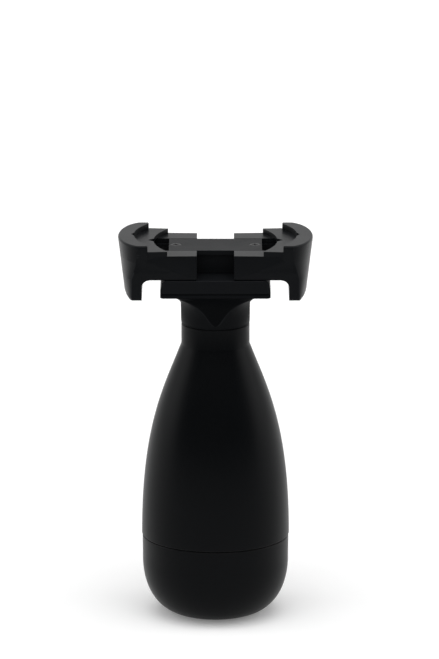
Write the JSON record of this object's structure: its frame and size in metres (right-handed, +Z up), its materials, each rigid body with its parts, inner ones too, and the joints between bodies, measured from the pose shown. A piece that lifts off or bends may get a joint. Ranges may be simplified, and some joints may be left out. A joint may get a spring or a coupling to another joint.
{
  "type": "miniature painting handle",
  "caption": "Bottle-shaped grip with a turning clamp head whose two spring-closed, stepped jaws hold a model's base for painting.",
  "frame": {"origin": "middle of the foot, on the surface that the handle stands on", "axes": "+Z up along the grip's axis, X along the way the jaws slide, the pictured front towards -Y"},
  "size_m": [0.0628, 0.048, 0.1267],
  "materials": {
    "grip_plastic": "fine matte",
    "clamp_plastic": "satin",
    "pad_rubber": "matte",
    "steel": "zinc plated"
  },
  "bodies": {
    "handle": {"handle_shell": "grip_plastic", "bottom_cap": "grip_plastic", "foot_pad": "pad_rubber"},
    "head": {"clamp_base": "clamp_plastic", "friction_ring": "pad_rubber", "swivel_washer": "steel", "swivel_screw": "steel", "guide_block": "clamp_plastic", "base_screw_1": "steel", "base_screw_2": "steel", "base_screw_3": "steel", "base_screw_4": "steel", "seat_plate": "clamp_plastic", "seat_screw_left": "steel", "seat_screw_right": "steel", "spring_left": "steel", "spring_right": "steel"},
    "left_jaw": {"jaw_left": "clamp_plastic", "pull_rod_left": "steel"},
    "right_jaw": {"jaw_right": "clamp_plastic", "pull_rod_right": "steel"}
  },
  "joints": [
    {"name": "head_swivel", "type": "hinge", "parent": "handle", "child": "head", "pos_m": [0, 0, 0.09745], "axis": [0, 0, 1], "continuous": true},
    {"name": "jaw_left_slide", "type": "slide", "parent": "head", "child": "left_jaw", "axis": [-1, 0, 0], "range_m": [-0.0056, 0.005], "stiffness_N_per_m": 900, "springref_m": -0.0088, "deforming": ["spring_left"]},
    {"name": "jaw_right_slide", "type": "slide", "parent": "head", "child": "right_jaw", "axis": [1, 0, 0], "range_m": [-0.0056, 0.005], "stiffness_N_per_m": 900, "springref_m": -0.0088, "deforming": ["spring_right"]}
  ]
}
